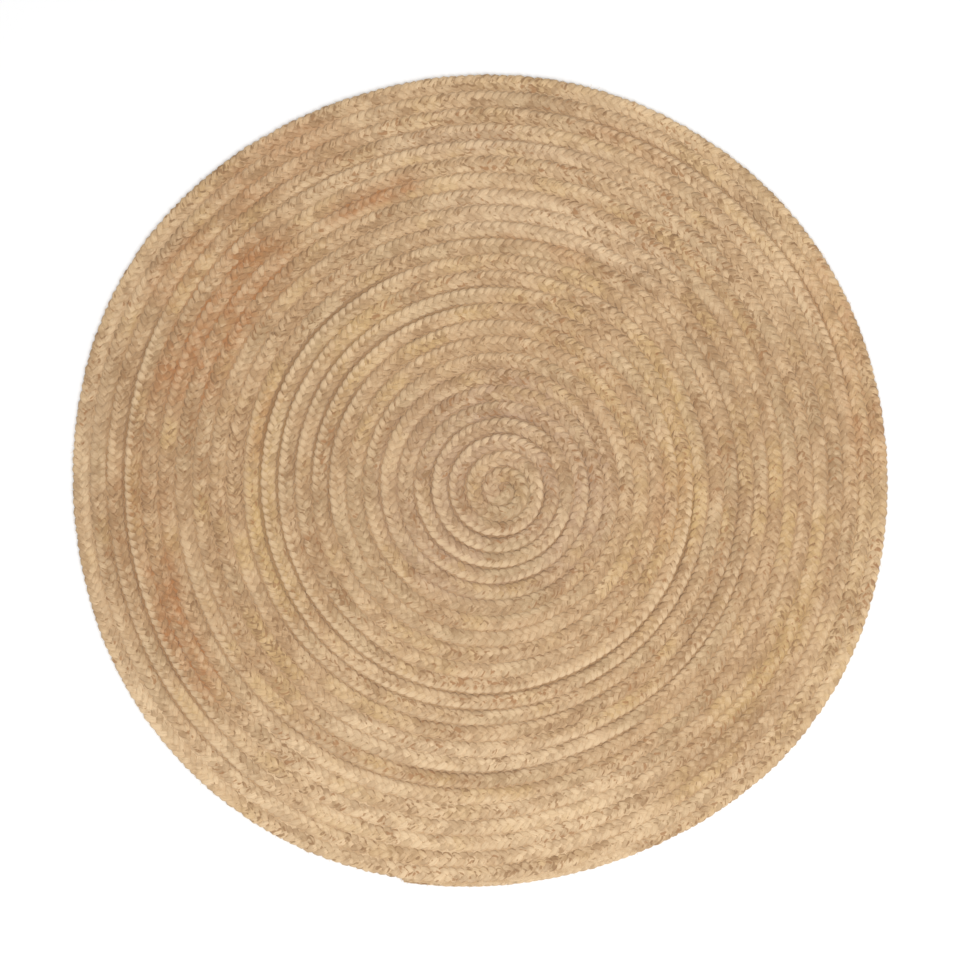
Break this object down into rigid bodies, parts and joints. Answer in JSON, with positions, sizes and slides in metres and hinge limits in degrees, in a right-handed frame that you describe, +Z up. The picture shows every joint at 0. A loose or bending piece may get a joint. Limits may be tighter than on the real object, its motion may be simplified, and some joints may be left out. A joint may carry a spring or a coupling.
{
  "type": "round jute rug",
  "caption": "Flat round floor rug: a thick flat braid of natural jute coiled outward from an off-centre eye and laced row to row, with a slightly wavy rim.",
  "frame": {"origin": "middle of the rug's bounding box, on the floor face", "axes": "+Z up from the floor through the rug's thickness; +Y is the top of the overhead view and +X its right; the braid winds outward clockwise seen from +Z"},
  "size_m": [1.4938, 1.4864, 0.01],
  "materials": {
    "jute_braid": "natural undyed jute fibre, matt with a faint fibre sheen"
  },
  "bodies": {
    "root": {"braided_coil": "jute_braid"}
  },
  "joints": []
}
